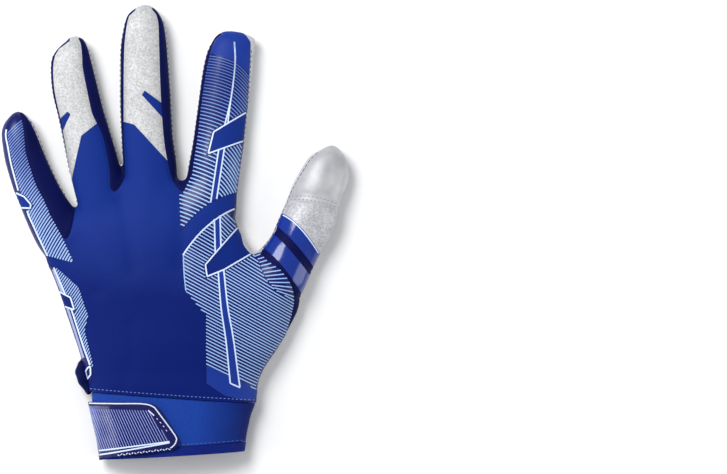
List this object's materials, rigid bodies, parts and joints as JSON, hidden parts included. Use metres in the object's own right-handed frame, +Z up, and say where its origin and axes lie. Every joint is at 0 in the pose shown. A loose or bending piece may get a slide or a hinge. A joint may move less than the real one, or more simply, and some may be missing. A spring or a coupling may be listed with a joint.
{
  "type": "football receiver glove",
  "caption": "Left-hand sports glove with stretch back, bonded film panels, tacky palm, ribbed thumb and a wrap-round wrist strap",
  "frame": {"origin": "on the surface the glove lies on, under the middle of its outline", "axes": "+Y towards the fingertips, +X towards the thumb, +Z up through the back of the hand"},
  "size_m": [0.1798, 0.2348, 0.0247],
  "materials": {
    "palm_leather": "tacky semi-gloss, light grey",
    "back_fabric": "satin stretch knit, royal to deep blue",
    "side_fabric": "matt navy stretch knit",
    "silver_film": "silver film, semi-gloss",
    "printed_film": "gloss film printed with fine pale stripes",
    "glossy_band": "high-gloss blue",
    "cuff_fabric": "matt stretch knit, mid blue",
    "strap_film": "gloss film printed with fine pale stripes"
  },
  "bodies": {
    "root": {"palm_panel": "palm_leather", "thumb_palm": "palm_leather", "thumb_cap": "palm_leather", "back_panel": "back_fabric", "thumb_back": "side_fabric", "strip_pinky_ring": "side_fabric", "strip_ring_middle": "side_fabric", "strip_middle_index": "side_fabric", "ring_film": "silver_film", "middle_film": "silver_film", "thumb_patch": "silver_film", "index_film": "printed_film", "hand_film": "printed_film", "pinky_film": "printed_film", "heel_film": "printed_film", "thumb_band_upper": "glossy_band", "thumb_band_lower": "glossy_band", "cuff": "cuff_fabric", "cuff_hem": "side_fabric", "wrist_strap": "strap_film", "side_gusset": "side_fabric"}
  },
  "joints": []
}
